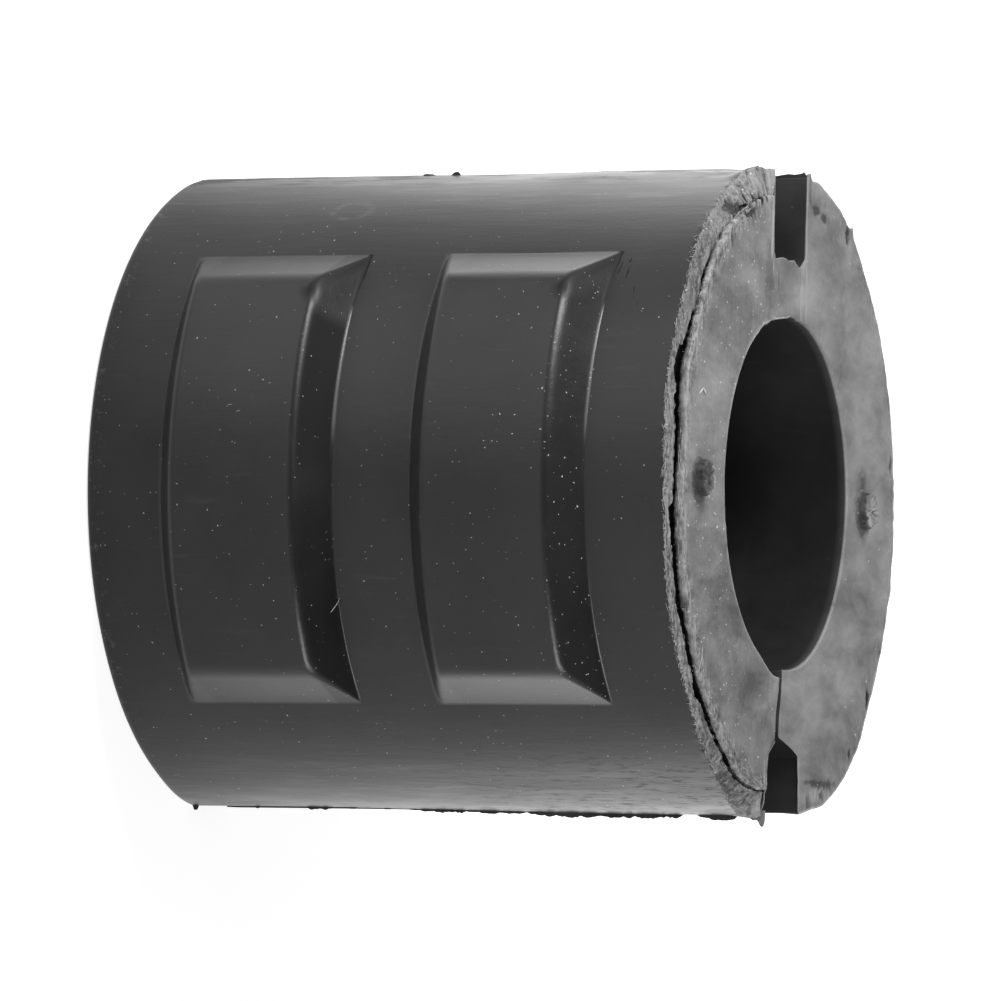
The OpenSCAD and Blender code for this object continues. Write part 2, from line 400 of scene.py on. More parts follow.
def tear_rows(sizes, angle, front, names):
    """Rows of the torn end from the bore to the outside, and how much painted shade the tear has at each
    column.

    Returns the radius and the height of each row on a torn column, its share of the way from the
    bore to the outside on a flat one, its painted shade and its paleness, which is partly a painted
    highlight; the core's wall; the height of the outer edge; and how much painted shade the tear has.
    """
    R, B, L, rim = millimetres(sizes, "body_radius", "bore_radius", "body_length", "edge_break")
    wall = table(angle, CORE_WALL)
    wall = wall + front * 0.12 * ragged(angle, 1.6, 3)
    wall = wall + front * (0.03 + 0.09 * (angle > 26)) * ragged(angle, 0.5, 4)
    inside = np.maximum(table(angle, RING_INSIDE), wall + 0.1)
    inside = inside + front * (0.1 * ragged(angle, 0.8, 5) + 0.06 * ragged(angle, 0.3, 6))
    open_ = table(angle, TEAR_OPEN) * front
    # The tear breaks up into short lengths beside both slots, and is narrower beside the hinge slot
    apart = np.clip(0.4 + 0.9 * ragged(angle, 2.6, 24), 0, 1)
    whole = 1 - (smooth(angle, 26, 8) + 0.7 * smooth(-angle, 62, 8)) * (1 - apart)
    inside = wall + 0.1 + (inside - wall - 0.1) * (0.3 + 0.7 * whole) * (1 - 0.5 * smooth(angle, 26, 8))
    edge = np.where(front > 0, table(angle, RING_EDGE), L)
    edge = np.where(names == "back_arc", table(angle, BACK_EDGE), edge)
    edge = edge + front * (0.12 * ragged(angle, 0.9, 7) + 0.1 * ragged(angle, 0.3, 8))
    edge = edge + (names == "back_arc") * 0.05 * ragged(angle, 1.3, 9)
    step = open_ + (1 - open_) * front * 0.25
    ring = L - step
    # Each row: radius, height, share on a flat column, painted shade, and paleness, which on the edges' rows
    # is partly a painted highlight
    rows = [
        (B, L - rim, 0, 0, 0.6),
        (B + rim, L, rim / (R - B), 0, 1),
        (B + rim + 0.15, L, (rim + 0.15) / (R - B), 0, 0.3),
    ]
    for share in np.linspace(0.07, 1, 13)[:-1]:
        rows.append((B + (wall - 1.3 - B) * share, L, share * 0.72, 0, 0))
    for k, inset in enumerate((1.3, 0.9, 0.6, 0.35, 0.15)):
        rows.append((wall - inset, L + 0.05 * (k / 4) ** 2 * open_, 0.72 + k * 0.012, 0, 0.12 * k))
    # The core's edge and wall, the undercut, and the ring's inner edge; the undercut's rows are painted in
    # shade
    rows += [
        (wall, L - 0.05, 0.785, 0, 1),
        (wall + 0.07, L - 0.3 * step, 0.792, 0, 0.8),
        (wall + 0.05, L - 0.6 * step, 0.8, 0.05, 0.5),
        (wall, ring + 0.24 * open_, 0.808, 0.35, 0.1),
        (wall - 0.1 * open_, ring + 0.04, 0.816, 1, 0),
        (wall - 0.2 * open_, ring - 0.5 * open_ * whole, 0.825, 1, 0),
        ((wall + inside) / 2, ring - 1.1 * open_ * whole, 0.835, 1, 0),
        (inside - 0.05, ring - 0.6 * open_ * whole, 0.845, 1, 0),
        (inside, ring - 0.05, 0.855, 0.3, 0.5),
    ]
    for share in (0.04, 0.1, 0.25, 0.4, 0.55, 0.7, 0.85, 0.94):
        slope = ring + (edge - ring) * share ** 1.3
        radius = inside + (R - 0.05 - inside) * share
        rows.append((radius, slope, 0.86 + 0.13 * share, 0, 0.25 * (share > 0.9)))
    rows += [(R - 0.06, edge + 0.04, 0.993, 0, 0.8), (R, edge, 1, 0.2, 0.6)]
    columns = [np.stack([row[k] + 0 * wall for row in rows]) for k in range(5)]
    # How much painted shade the tear holds: most where it stands open and whole
    shade = np.clip(1.6 * open_ * (0.1 + 0.9 * whole) + 0.4 * ragged(angle, 1.4, 20), 0, 1)
    return columns, wall, edge, shade


def slot_rims(x, y, outer, names):
    """Paleness of the torn end beside the walls of both slots: a pale rim that is partly a painted highlight
    along the edge.
    """
    pale = np.zeros_like(x)
    for stretch, side, strength in (("front_hinge", -1, 1.0), ("back_hinge", 1, 0.6),
                                    ("front_wall", -1, 0.45), ("back_wall", 1, 0.2)):
        line = outer[names == stretch]
        line = line[np.argsort(line[:, 0])]
        gap = side * (y - np.interp(x, line[:, 0], line[:, 1]))
        beside = (gap > -0.1) & (x > line[0, 0] - 0.4) & (x < line[-1, 0] + 0.4)
        pale = np.maximum(pale, strength * beside * smooth(gap, 0.75, -0.35))
    return pale


def torn_end(sizes, outer, bore, angle, names):
    """Points and marks of the torn end: rows run from the bore to the outside, with a column for each angle.

    On the front half the rows follow the tear: the core's edge and wall, an undercut, the ring's
    inner edge and the ring's slope down to its outer edge. Elsewhere they lie flat.
    """
    R, B, L, rim = millimetres(sizes, "body_radius", "bore_radius", "body_length", "edge_break")
    front = (names == "front_arc").astype(float)
    columns, wall, edge, shade = tear_rows(sizes, angle, front, names)
    torn_radius, torn_z, flat_share, row_painted_shade, row_pale = columns
    share = (torn_radius - B) / (R - B) * front + flat_share * (1 - front)
    flat_z = L + (edge - L) * smooth(flat_share, 0.55, 0.45) - rim * (flat_share == 0)
    z = torn_z * front + flat_z * (1 - front)
    # The ring lies in shade on the hinge slot's side
    ring_shade = 0.25 * front * (flat_share > 0.85) * smooth(angle, 8, 14) * (angle < 62)
    # The tear's rows bring painted shade into the undercut and the crack, and the ring's painted shade is
    # added
    dark = np.maximum(row_painted_shade * front * shade, ring_shade)
    # Pale rims along the torn edges: rubbed rubber with a painted highlight along each edge
    torn_pale = row_pale * np.where(flat_share > 0.7, 0.6 + 0.4 * ragged(angle, 0.8, 25), 1)
    slot = np.char.endswith(names, "hinge") | np.char.endswith(names, "_wall")
    flat_pale = np.where(flat_share > np.where(slot, 0.955, 0.99), 0.7, 0) + row_pale * (flat_share < 0.05)
    pale = torn_pale * front + flat_pale * (1 - front)
    pale = pale * np.where((flat_share < 0.05) & (np.abs(angle) > 88), 0.25, 1)

    xy = bore[None] * (1 - share[..., None]) + outer[None] * share[..., None]
    xy = xy * (1 + (nose(angle) / R * smooth(share, 0.86, 0.14))[..., None])
    x, y = xy[..., 0], xy[..., 1]
    r = np.hypot(x, y)
    around = angle[None] * MM_PER_DEGREE
    # Torn rubber is never quite flat: it has broad, finer and finest swells, all longer along Y
    inner = (share > rim / (R - B)) & (share < 0.995)
    swell = 0.10 * rough(x, y, 5, 9, 11) + 0.03 * rough(x, y, 1.2, 2.4, 12) + 0.01 * rough(x, y, 0.5, 0.9, 13)
    z = z + inner * swell
    # The split slot's front lip is torn down with the ring
    z = z - (names == "front_wall") * (0.2 * smooth(x, 32.0, 0.8) + 0.3 * smooth(x, 33.4, 1.4))
    # The block beside the hinge slot is smoother than the rest of the tear
    crumbs = smooth(r, 30.8, 1.2) * front * (share < 0.995) * (1 - 0.7 * smooth(angle, 60, 6))
    # Dark and pale strands lie along the tear
    strands = rough(around, r, 1.2, 0.22, 27)
    dark = np.maximum(dark, 0.45 * crumbs * smooth(strands, 0.1, 0.5))
    pale = np.maximum(pale, 0.55 * crumbs * smooth(-strands, 0.25, 0.4))
    z = z + crumbs * (0.07 * rough(around, r, 0.35, 0.5, 14) + 0.05 * rough(around, r, 1.1, 0.4, 15))
    for pit_x, pit_y, half_x, half_y, depth, darkness in PITS:
        near = np.hypot((x - pit_x) / half_x, (y - pit_y) / half_y)
        hit = smooth(1.25 + 0.45 * rough(x, y, 0.5, 0.45, 16) - near, 0, 0.5) * (share < 0.999)
        # A pit's darkness is painted shade in its hollow
        z = z - depth * hit
        dark = np.maximum(dark, darkness * hit)
        pale = np.maximum(pale, -darkness * hit)
    pale = np.maximum(pale, slot_rims(x, y, outer, names))
    # The web at the hinge slot has a shallow panel with pale borders
    web = (names == "web") & (np.roll(names, 1) == "web")
    z = z - millimetres(sizes, "web_relief") * web * (share > 0.02)
    border = web & ~(np.roll(web, 1) & np.roll(web, -1))
    pale = np.maximum(pale, 0.25 * border * (share > 0.05))
    frayed = np.where(front > 0, np.maximum(smooth(r - wall, -2.6, 2.2), 0.1), 0.25 * smooth(r, 32, 2))
    marks = {"torn": np.ones_like(z), "dark": dark, "pale": pale, "frayed": frayed,
             "dusty": z * 0 + 0.3 + 0.6 * front}
    return np.concatenate([xy, z[..., None]], -1), {key: np.clip(v, 0, 1) for key, v in marks.items()}


def outside_wall(sizes, outer, angle, on_arc, edge):
    """Loops of the outside, from just below the torn edge to the end of the plain end's rounding."""
    L, round_ = millimetres(sizes, "body_length", "end_round")
    below = np.array([0.12, 0.3, 0.6, 1.1, 1.9, 3.0, 4.5, 7.0])
    span = np.concatenate([below, np.linspace(11, L - round_, 14)])[:, None]
    z = np.where(span < 8, edge[None] - span, L - span)
    arc = np.radians(np.array([18, 36, 54, 72, 90]))[:, None]
    z = np.concatenate([z, round_ * (1 - np.sin(arc)) * np.ones(len(angle))])
    inset = np.concatenate([np.zeros((len(span), 1)), round_ * (1 - np.cos(arc))])
    # The plain end is hardly rounded beside the slots
    inset = inset * (1 - 0.7 * smooth(np.abs((angle + 90) % 180 - 90), 62, 16))
    depth = edge[None] - z
    flare = 0.10 * np.maximum(0, ragged(angle, 1.1, 21)) * hump(depth, 0, 0.35)
    flare = flare + nose(angle) * (1 - smooth(depth, 0, 2.2))
    swell = 0.05 * rough(angle[None] * MM_PER_DEGREE + z * 0, z, 9, 12, 22)
    # Both front lips bulge towards the torn end
    swell = swell + split_lip(angle) * lip_bend(z) * smooth(depth, 0, 2.2)
    hinge_lip = 0.15 * smooth(angle, 68, 9) * (angle < 90)
    swell = swell + hinge_lip * smooth(z, 40, 9) * (1 - smooth(z, 61, 4))
    radial = outer / np.hypot(outer[:, 0], outer[:, 1])[:, None]
    side = outer[None] + radial[None] * ((flare + swell - inset) * on_arc)[..., None]
    return np.concatenate([side, z[..., None]], -1)


def body_points(sizes):
    """Points, faces and marks of the body: torn end, outside, plain end, bore and the slit's walls."""
    L, rim = millimetres(sizes, "body_length", "edge_break")
    outer, bore, angle, names = section(sizes)
    n = len(angle)
    on_arc = np.char.endswith(names, "_arc")
    top, top_marks = torn_end(sizes, outer, bore, angle, names)
    outside = outside_wall(sizes, outer, angle, on_arc, top[-1, :, 2])
    # Plain end, from the rounding to the bore's edge break
    ends = np.linspace(0, 1, 6)[1:, None, None]
    broken = bore + bore / np.hypot(bore[:, 0], bore[:, 1])[:, None] * rim
    flat = outside[-1, :, :2][None] * (1 - ends) + broken[None] * ends
    plain = np.concatenate([flat, np.zeros(flat.shape[:2] + (1,))], -1)
    # Bore, from the plain end up
    heights = np.concatenate([[rim, rim + 2], np.linspace(8, L - 8, 6), [L - 3, L - 1.2]])
    hole_z = heights[:, None] * np.ones(n)
    hole = np.concatenate([np.broadcast_to(bore, (len(heights), n, 2)), hole_z[..., None]], -1)
    loops = np.concatenate([top, outside, plain, hole])
    count = len(loops)
    # The last bore loop joins the torn end's first row
    faces = np.concatenate([grid_faces(count, n, 0), strip_faces((count - 1) * n, 0, n)])
    rest = [list(np.arange(count) * n), list(np.arange(count)[::-1] * n + n - 1)]
    side_rows, hole_rows = slice(len(top), count - len(hole)), slice(count - len(hole), count)
    full = {key: np.zeros((count, n)) for key in top_marks}
    for key, values in top_marks.items():
        full[key][:len(top)] = values
    # The slots and the bore are dull, but not torn
    torn, dark = full["torn"], full["dark"]
    torn[side_rows, ~on_arc] = 0.4
    torn[hole_rows] = 0.366
    torn[len(top) - 1] = 0.6
    torn[0] = 0.45
    # The slots' flanks and walls, the hinge slot's walls and the slit are painted in shade
    for ending, darkness in (("_flank", 0.82), ("_wall", 0.6), ("_hinge", 0.35)):
        dark[side_rows, np.char.endswith(names, ending)] = darkness
    dark[:, np.char.endswith(names, "_slit")] = 0.75
    full["dusty"][side_rows, on_arc] = 0.5
    return loops.reshape(-1, 3), faces, rest, full


def build_body(sizes):
    """The body as one closed mesh, under 200,000 triangles."""
    points, faces, rest, marks = body_points(sizes)
    return make_mesh("bushing_body", points, faces, rest, marks, sharp=38)


def soft_min(a, b, k):
    """Smaller of two heights, with the corner between them rounded over a height k."""
    return np.minimum(a, b) - np.maximum(k - np.abs(a - b), 0) ** 2 / (4 * k)


def pad_walls(sizes, across, along):
    """Heights above the barrel of a pad's long wall and of its end wall.

    They are given at an angle across the pad and at a distance along the bar from its middle. The
    long wall is a plane whose distance from the bar's axis is r sin(across + draft), and the end
    wall is a cone with the end's slope.
    """
    R, width, foot = millimetres(sizes, "body_radius", "pad_width", "pad_length")
    half, draft = width / 2, sizes.pad_side_draft
    plane = half * np.cos(draft) + np.sqrt(R * R - half * half) * np.sin(draft)
    long_wall = plane / np.sin(np.abs(np.radians(across)) + draft) - R
    return long_wall, (foot / 2 - np.abs(along)) / np.tan(sizes.pad_end_slope)


def pad_height(sizes, across, along):
    """Height of a pad above the barrel: the least of its top and its two walls, with rounded corners."""
    H = millimetres(sizes, "pad_height")
    side, end = pad_walls(sizes, across, along)
    # The corners are rounder towards the plain end, and towards the top
    lower = np.clip(np.minimum(side, end) / H, 0, 1)
    walls = soft_min(side, end, np.where(along < 0, 1.0, 0.2 + 0.9 * smooth(lower)))
    height = soft_min(np.minimum(walls, 2 * H), H, 0.95)
    # A small fillet at the foot, which then dips into the barrel
    return (height + np.sqrt(height * height + 4 * 0.045 ** 2)) / 2 - 0.012


def pad_marks(sizes, A, Z):
    """Marks of a pad: painted shade at its corners and on its walls, rubbing and a painted highlight on its
    walls, and its upper end wall.
    """
    foot = millimetres(sizes, "pad_length") / 2
    long_wall, end_wall = pad_walls(sizes, A, Z)
    wall = smooth(Z, 7.0, 0.5)
    # The end wall that faces the torn end lies in shade high up
    shade = wall * (0.1 + 0.5 * smooth(A, -8, 12) * (1 - smooth(A, 26, 3))) * (Z < foot - 0.2)
    # Painted shade dims its mitre with the long wall, the crease at its foot and the top's corner, and takes
    # their highlights away
    over = long_wall - end_wall
    mitre = 0.5 * np.exp(-(over / np.where(over > 0, 1.8, 0.3)) ** 2) * smooth(A, 28, 3) * (Z > 0)
    crease = 0.55 * smooth(A, 29, 3) * smooth(Z - foot, -0.3, 0.25)
    corner = 0.5 * smooth(A, 27, 3) * smooth(Z, 5.8, 0.6) * (1 - wall) * smooth(over / 0.6 + 0.5)
    spots = np.maximum.reduce([crease, corner, mitre])
    # The end wall that faces the plain end is rubbed; the pale line along the foot of the other one, high up,
    # is a painted highlight
    rubbed_and_highlight = 0.05 * smooth(-Z, 6.6, 0.6)
    rubbed_and_highlight = rubbed_and_highlight + 0.45 * hump(Z - foot, -0.02, 0.12) * smooth(A, 4, 6) * (1 - smooth(A, 26, 3))
    return spots, shade, rubbed_and_highlight, wall


def build_pads(sizes):
    """Four gripping pads, each a height field on the barrel that is rooted in it."""
    R, length_, width = millimetres(sizes, "body_radius", "pad_length", "pad_width")
    foot, lean = length_ / 2, np.degrees(sizes.pad_lean)
    edge = np.degrees(np.arcsin(width / 2 / R))
    fine = np.linspace(29, edge + 0.7, 46)
    across = np.concatenate([-fine[::-1], np.linspace(-27.5, 27.5, 30), fine])
    fine = np.linspace(6.2, foot + 0.45, 32)
    along = np.concatenate([-fine[::-1], np.linspace(-5.2, 5.2, 6), fine])
    A, Z = np.meshgrid(across, along)
    height = pad_height(sizes, A, Z)
    height[[0, -1], :] = -PAD_RIM_DEPTH
    height[:, [0, -1]] = -PAD_RIM_DEPTH
    spots, shade, rubbed_and_highlight, wall = pad_marks(sizes, A, Z)
    rows, cols = A.shape
    buried = np.zeros(2 * cols)
    meshes, quads, rest, dark, film = [], [], [], [], []
    first = 0
    for middle in PAD_MIDDLES:
        high = middle == max(PAD_MIDDLES)
        for facing in (1, -1):
            lump = 0.05 * rough(A * MM_PER_DEGREE, Z + middle * facing, 6, 6, 31)
            radius = R + height + lump * smooth(height, 3.5)
            xy = polar(radius, A + lean)
            top = np.stack([xy[..., 0], facing * xy[..., 1], Z + middle], -1)
            low = polar(R - PAD_FLOOR_DEPTH, across + lean)
            base = np.stack([low[:, 0], facing * low[:, 1], low[:, 0] * 0], -1)
            ends = [base + [0, 0, along[0] + middle], base + [0, 0, along[-1] + middle]]
            meshes.append(np.concatenate([top.reshape(-1, 3), *ends]))
            low0 = first + rows * cols
            high0 = low0 + cols
            faces = np.concatenate([
                grid_faces(rows, cols, first),
                strip_faces(low0, first, cols),
                strip_faces(low0 - cols, high0, cols),
                strip_faces(high0, low0, cols),
            ])
            side = np.arange(rows) * cols + first
            left = [low0, *side, high0]
            right = [high0 + cols - 1, *(side + cols - 1)[::-1], low0 + cols - 1]
            # Angles grow towards -X, so a pad that faces -Y has its quads turned the other way
            if facing == 1:
                faces = faces[:, ::-1]
                left, right = left[::-1], right[::-1]
            quads.append(faces)
            rest += [left, right]
            first += rows * cols + 2 * cols
            # Only the pads that face -Y are marked: both with painted shade at their corners and creases and
            # with rubbing and a painted foot highlight, the lower one also with painted shade on its upper
            # end wall, and the higher one with a film
            marked = facing == 1
            dark += [marked * np.maximum(spots, shade * (not high)).reshape(-1), buried]
            film += [marked * (rubbed_and_highlight + 0.02 * wall * high).reshape(-1), buried]
    points = np.concatenate(meshes)
    # Dust gathers on the end walls that face the torn end, most of all on the higher pads
    higher = points[:, 2] > np.mean(PAD_MIDDLES)
    tall = points[:, 2] - np.where(higher, max(PAD_MIDDLES), min(PAD_MIDDLES))
    marks = {"dusty": 0.5 + smooth(tall, 6, 1.5) * np.where(higher, 0.5, 0.15),
             "dark": np.concatenate(dark), "film": np.concatenate(film)}
    return make_mesh("gripping_pads", points, np.concatenate(quads), rest, marks, sharp=50)


def build_stubs(sizes):
    """Two gate stubs: revolved, with a ragged outline and a torn, hollow top."""
    L, r0, h0 = millimetres(sizes, "body_length", "stub_radius", "stub_height")
    around = np.arange(72) * 5.0
    a, wander = np.radians(around), around[None] * 0.1
    # Profile, in radii and heights of a stub, with its darkness, which is painted shade that is deepest on
    # the sides, and each stub's pale rim
    profile = np.array([
        (1.2, -1.4, 0.2, 0, 0), (1.2, -0.06, 0.2, 0, 0), (1.08, 0.1, 0.6, 0, 0), (1.0, 0.35, 0.8, 0.1, 0),
        (0.95, 0.8, 0.8, 0.6, 0.3), (0.88, 1.0, 0.6, 1, 1.6), (0.74, 0.92, 0.62, 0.2, 2.4),
        (0.5, 0.8, 0.62, 0, 2.6), (0.25, 0.78, 0.62, 0, 2.6)])
    out, up, body = (profile[:, k:k + 1] for k in range(3))
    meshes, quads, rest, marks = [], [], [], []
    for k, (x, y) in enumerate(STUBS):
        radius = out * r0 * (1 + 0.09 * rough(wander, out, 1.2, 0.5, 41 + k) * smooth(up, 0.3, 0.6))
        z = L + up * h0 * (1 + 0.18 * rough(wander + 7 * k, out * 4, 1.0, 2, 43))
        meshes.append(np.stack([x + radius * np.cos(a), y + radius * np.sin(a), z], -1).reshape(-1, 3))
        first, last = k * len(profile) * len(a), ((k + 1) * len(profile) - 1) * len(a)
        quads.append(grid_faces(len(profile), len(a), first, closed=True))
        rest += [list(first + np.arange(len(a)))[::-1], list(last + np.arange(len(a)))]
        # Both stubs' sides are painted in shade; the front stub is dark with a pale torn rim towards the
        # bore, and the back one has a pale top
        away = np.clip(np.sin(a) + 0.35, 0, 1) if k == 0 else 0.3 + a * 0
        rim = profile[:, 3 + k:4 + k]
        marks.append(np.stack([(body * (1 - rim * away)).reshape(-1), (0.7 * rim * away).reshape(-1)]))
    points = np.concatenate(meshes)
    dark, pale = np.concatenate(marks, 1)
    marks = {"torn": np.ones(len(points)), "dark": dark, "pale": pale, "frayed": dark}
    return make_mesh("gate_stubs", points, np.concatenate(quads), rest, marks, sharp=45)


def ribbon(root, out, height, first):
    """A thin flap of flash along Z: root points, the way out along X, and its height along the root.

    Its section is a narrow triangle with a blunt tip, and both ends are closed.
    Returns points, quads and end faces.
    """
    side = np.array([0, 1.0, 0])
    base = root - out * 0.5
    tip = root + out * height[:, None]
    ring = np.stack([base - side * 0.22, tip - side * 0.05, tip + side * 0.05, base + side * 0.22], 1)
    quads = grid_faces(len(root), 4, first, closed=True)
    rest = [list(first + np.arange(4)), list(first + (len(root) - 1) * 4 + np.arange(4)[::-1])]
    if out[0] < 0:
        quads, rest = quads[:, ::-1], [face[::-1] for face in rest]
    return ring.reshape(-1, 3), quads, rest


def build_flash(sizes):
    """Ragged flash that the mould left: along both slots' lips, and at the torn end."""
    R, split, hinge = millimetres(sizes, "body_radius", "split_half", "hinge_half")
    split = split + SPLIT_FRONT_WEAR
    out = np.array([1.0, 0, 0])
    runs = []

    def split_root(z, inward):
        x = np.sqrt(R * R - split * split) - 0.1 + 0.5 * lip_bend(z)
        return np.stack([x, z * 0 - split - inward, z], -1)

    def hinge_root(z, y, lip):
        return np.stack([z * 0 - np.sqrt(R * R - lip * lip) + 0.1, z * 0 + y, z], -1)

    # Under the split slot's front lip, broken once near the torn end, with two nubs at the plain end
    for low, high, seed in ((13.4, 58.3, 51), (59.3, 64.6, 52)):
        z = np.arange(low, high, 0.12)
        height = 0.26 + 0.2 * smooth(z, 36, 14) + 0.13 * ragged(z, 3.1, seed)
        height = height + 0.12 * ragged(z, 0.7, seed + 5) + 0.07 * ragged(z, 0.25, seed + 9)
        height = np.maximum(height, 0.05) * smooth(z, low, 1.2) * smooth(z, high, -1.0)
        runs.append((split_root(z, -0.1), out, height))
    for low, high, tall in ((0.25, 1.1, 0.55), (7.7, 8.5, 0.3)):
        z = np.arange(low, high, 0.08)
        runs.append((split_root(z, -0.05), out, tall * smooth(z, low, 0.25) * smooth(z, high, -0.3)))
    # A torn tail hangs from the split slot's front lip at the torn end
    z = np.arange(65.2, 67.3, 0.08)
    height = 0.1 + 0.45 * smooth(z, 65.2, 0.8) + 0.7 * smooth(z, 66.4, 0.5) * smooth(z, 67.4, -0.35)
    runs.append((split_root(z, -0.3), out, height))
    # Along the hinge slot's back lip, near the torn end
    z = np.arange(60, 67.4, 0.1)
    back = hinge + HINGE_FLASH_SHIFT
    runs.append((hinge_root(z, back, back), -out, table(z, HINGE_FLASH)))
    # Small tabs on the hinge slot's front lip
    for low, high, tall in ((26.6, 28.2, 0.12), (30.0, 31.2, 0.32)):
        z = np.arange(low, high, 0.1)
        height = tall * smooth(z, low, 0.4) * smooth(z, high, -0.4) * (1 + 0.3 * ragged(z, 0.3, 61))
        runs.append((hinge_root(z, -back, hinge), -out, height))
    meshes, quads, rest = [], [], []
    first = 0
    for run in runs:
        points, faces, ends = ribbon(*run, first)
        meshes.append(points)
        quads.append(faces)
        rest += ends
        first += len(points)
    points = np.concatenate(meshes)
    at_split = points[:, 0] > 0
    # The flash at the hinge slot, and at the split slot below the torn end, is painted in shade
    marks = {"torn": 0.45 + 0.5 * smooth(points[:, 2], 65.8, 0.5) * at_split,
             "dark": 0.6 * np.maximum(smooth(points[:, 2], 66, -0.5), ~at_split)}
    return make_mesh("mould_flash", points, np.concatenate(quads), rest, marks, sharp=30)


def tubes(paths, radius, sides=5):
    """Thin tubes, one along each row of paths, which tapers at both ends and is closed there."""
    many, steps = paths.shape[:2]
    along = np.gradient(paths, axis=1)
    along /= np.linalg.norm(along, axis=2, keepdims=True)
    across = np.cross(along, [0.31, 0.17, 0.93])
    across /= np.linalg.norm(across, axis=2, keepdims=True)
    up = np.cross(along, across)
    a = (np.arange(sides) / sides * 2 * np.pi)[None, None, :, None]
    taper = (0.45 + 0.55 * np.sin(np.linspace(0, np.pi, steps)))[None, :, None, None]
    way = np.cos(a) * across[:, :, None] + np.sin(a) * up[:, :, None]
    ring = paths[:, :, None] + np.reshape(radius, (-1, 1, 1, 1)) * taper * way
    first = (np.arange(many) * steps * sides)[:, None]
    quads = (grid_faces(steps, sides, 0, closed=True)[None] + first[..., None]).reshape(-1, 4)
    foot = (np.arange(sides)[::-1] + first).tolist()
    tip = (np.arange(sides) + (steps - 1) * sides + first).tolist()
    return ring.reshape(-1, 3), quads, foot + tip


def curves(spots, count):
    """Curves through the air, each bent from its first point past its middle one to its last.

    A point is given as its angle, its height along the bar and its distance from the axis.
    """
    first, middle, last = np.moveaxis(np.array(spots, float), 1, 0)[:, :, None]
    t = np.linspace(0, 1, count)[None, :, None]
    bend = first * (1 - t) ** 2 + middle * 2 * t * (1 - t) + last * t ** 2
    xy = polar(bend[..., 2], bend[..., 0])
    return np.concatenate([xy, bend[..., 1:2]], -1)


def build_fibres(sizes):
    """Lint on the rubber: short fibres that lie on the barrel, the pads and the torn end."""
    R, H = millimetres(sizes, "body_radius", "pad_height")
    pad = R + H
    # Half a fibre's thickness, and its first, middle and last point
    fibres = (
        (0.045, (-23.8, 27.5, R + 1.0), (-23.1, 28.3, R + 1.2), (-20.9, 29.1, R + 0.15)),
        (0.016, (11.0, 18.1, pad + 0.02), (11.5, 18.3, pad + 0.06), (11.4, 18.8, pad + 0.02)),
        (0.014, (10.2, 19.3, pad + 0.02), (10.5, 19.4, pad + 0.06), (10.4, 19.8, pad + 0.02)),
        (0.04, (-34.2, 67.6, 31.2), (-36.0, 67.8, 32.4), (-38.0, 67.2, 33.5)),
        (0.1, (18.5, 67.58, 29.1), (19.4, 67.7, 28.8), (20.4, 67.66, 28.35)),
        (0.1, (20.4, 67.66, 28.35), (20.1, 67.7, 27.75), (19.8, 67.58, 27.2)),
        (0.09, (-9.2, 67.55, 31.0), (-9.0, 67.66, 30.9), (-8.9, 67.55, 30.6)),
        (0.11, (-12.2, 67.55, 22.5), (-12.0, 67.66, 22.3), (-11.8, 67.55, 22.1)),
    )
    points, quads, rest = tubes(curves([f[1:] for f in fibres], 9), [f[0] for f in fibres])
    return make_mesh("fibres", points, quads, rest)


def thinned(chance, many):
    """Random angles round the tear, of which few lie on the smooth block beside the hinge slot."""
    angle = chance.uniform(-80, 82, many)
    return np.where((angle > 56) & (chance.uniform(0, 1, many) > 0.3), chance.uniform(-75, 56, many), angle)


def strand(angle, run, bend, start, middle, end):
    """Strands' points: each runs over an angle, and its middle lies at a share of it.

    The three points are given as their heights and their distances from the axis.
    """
    spots = ((angle, *start), (angle + run * bend, *middle), (angle + run, *end))
    return np.stack([np.stack(spot, -1) for spot in spots], 1)


